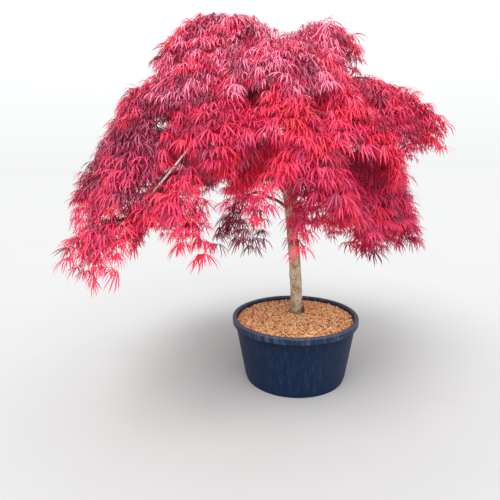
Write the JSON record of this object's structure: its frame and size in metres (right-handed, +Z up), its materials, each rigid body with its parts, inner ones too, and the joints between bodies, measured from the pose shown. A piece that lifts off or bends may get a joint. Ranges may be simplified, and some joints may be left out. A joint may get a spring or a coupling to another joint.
{
  "type": "potted japanese maple",
  "caption": "Weeping laceleaf maple with red autumn leaves: a single trunk and arching boughs over a large round nursery container with bark mulch.",
  "frame": {"origin": "middle of the container's flat underside, on the ground", "axes": "+Z up, +X to the right and +Y to the back as the plant is seen in the picture"},
  "size_m": [2.7415, 2.4268, 2.6477],
  "materials": {
    "container": "blue-black moulded plastic, satin, paler along the rim",
    "soil": "moist potting soil under the mulch",
    "mulch": "small tan and orange-brown bark granules",
    "bark": "smooth grey-tan bark with fine dark flecks",
    "leaves_scarlet": "finely cut leaves in bright scarlet, where the sun reaches them",
    "leaves_crimson": "finely cut crimson autumn leaves",
    "leaves_burgundy": "finely cut leaves still burgundy to purple, in the shade"
  },
  "bodies": {
    "root": {"container": "container", "potting_soil": "soil", "mulch": "mulch", "trunk": "bark", "bough_crest_left": "bark", "bough_crest_right": "bark", "bough_crest_front": "bark", "bough_crest_middle": "bark", "bough_crest_front_left": "bark", "bough_crest_back": "bark", "bough_upper_left": "bark", "bough_front_upper_left": "bark", "bough_front_upper": "bark", "bough_front_upper_right": "bark", "bough_upper_right": "bark", "bough_arm_right": "bark", "bough_shoulder_right": "bark", "bough_back_left": "bark", "bough_back_right": "bark", "bough_flank_left": "bark", "bough_flank_front_left": "bark", "bough_middle_left": "bark", "bough_lobe_left": "bark", "bough_front_left": "bark", "bough_front_low": "bark", "bough_front_right": "bark", "bough_skirt_right": "bark", "bough_low_right": "bark", "bough_skirt_back_right": "bark", "bough_skirt_back": "bark", "bough_skirt_back_left": "bark", "bough_low_spray": "bark", "foliage_crest_left": "leaves_scarlet", "foliage_crest_right": "leaves_scarlet", "foliage_crest_front": "leaves_scarlet", "foliage_crest_middle": "leaves_scarlet", "foliage_crest_front_left": "leaves_scarlet", "foliage_crest_back": "leaves_scarlet", "foliage_upper_left": "leaves_crimson", "foliage_front_upper_left": "leaves_crimson", "foliage_front_upper": "leaves_scarlet", "foliage_front_upper_right": "leaves_scarlet", "foliage_upper_right": "leaves_crimson", "foliage_arm_right": "leaves_scarlet", "foliage_shoulder_right": "leaves_crimson", "foliage_back_left": "leaves_burgundy", "foliage_back_right": "leaves_scarlet", "foliage_flank_left": "leaves_burgundy", "foliage_flank_front_left": "leaves_burgundy", "foliage_middle_left": "leaves_burgundy", "foliage_lobe_left": "leaves_crimson", "foliage_front_left": "leaves_scarlet", "foliage_front_low": "leaves_scarlet", "foliage_front_right": "leaves_crimson", "foliage_skirt_right": "leaves_crimson", "foliage_low_right": "leaves_crimson", "foliage_skirt_back_right": "leaves_crimson", "foliage_skirt_back": "leaves_burgundy", "foliage_skirt_back_left": "leaves_burgundy", "foliage_low_spray": "leaves_burgundy"}
  },
  "joints": []
}
